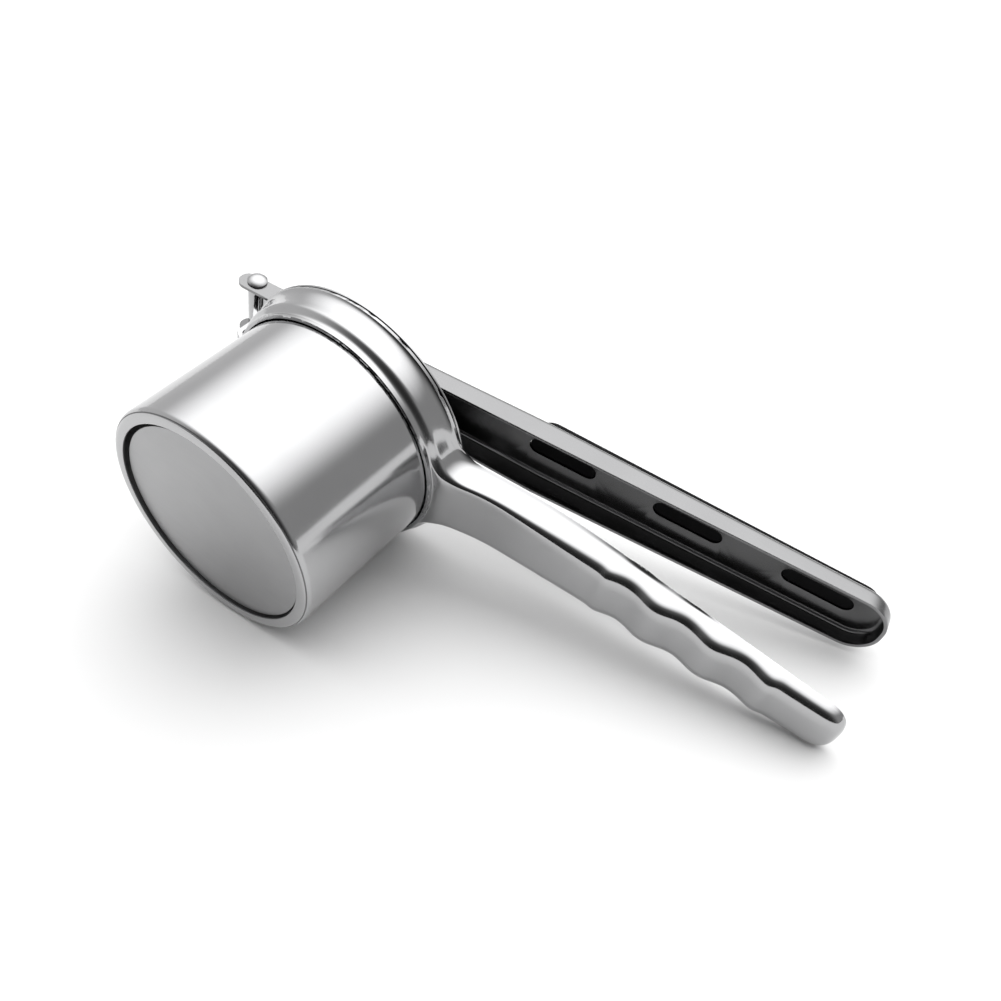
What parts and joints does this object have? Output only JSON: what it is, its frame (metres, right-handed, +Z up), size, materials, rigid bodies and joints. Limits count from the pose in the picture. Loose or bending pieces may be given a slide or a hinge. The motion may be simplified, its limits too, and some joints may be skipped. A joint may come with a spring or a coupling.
{
  "type": "potato ricer",
  "caption": "Hand press for cooked potato: a round hopper in a collar with a channel handle, and a hinged slotted lever that drives a flat press plate.",
  "frame": {"origin": "on the surface the ricer lies on, under the middle of its box, with the ricer lying on its side at rest on the hopper's rim, the collar's rim and the handle's tip", "axes": "+Z up from that surface; +X along the handle from the hinge towards the handle's tip; +Y roughly along the hopper's axis, from its open bottom towards the lever"},
  "size_m": [0.257, 0.1324, 0.0958],
  "materials": {
    "polished_steel": "polished",
    "satin_steel": "satin",
    "black_grip": "matt"
  },
  "bodies": {
    "frame": {"frame": "polished_steel", "hopper": "polished_steel", "hinge_knuckle": "polished_steel", "hinge_rivet": "polished_steel"},
    "lever": {"lever": "polished_steel", "grip_pad": "black_grip", "plunger_pin": "polished_steel"},
    "plunger": {"press_plate": "satin_steel", "plunger_bracket": "satin_steel"}
  },
  "joints": [
    {"name": "lever_hinge", "type": "hinge", "parent": "frame", "child": "lever", "pos_m": [-0.12019, 0.01984, 0.0613], "axis": [0.2039, -0.0847, 0.9753], "range_deg": [0, 60]},
    {"name": "plunger_swing", "type": "hinge", "parent": "lever", "child": "plunger", "pos_m": [-0.06438, 0.02621, 0.05018], "axis": [0.2039, -0.0847, 0.9753], "range_deg": [-41.4, 0]}
  ],
  "couplings": [
    {"joint": "plunger_swing", "follows": "lever_hinge", "ratio": -0.69}
  ]
}
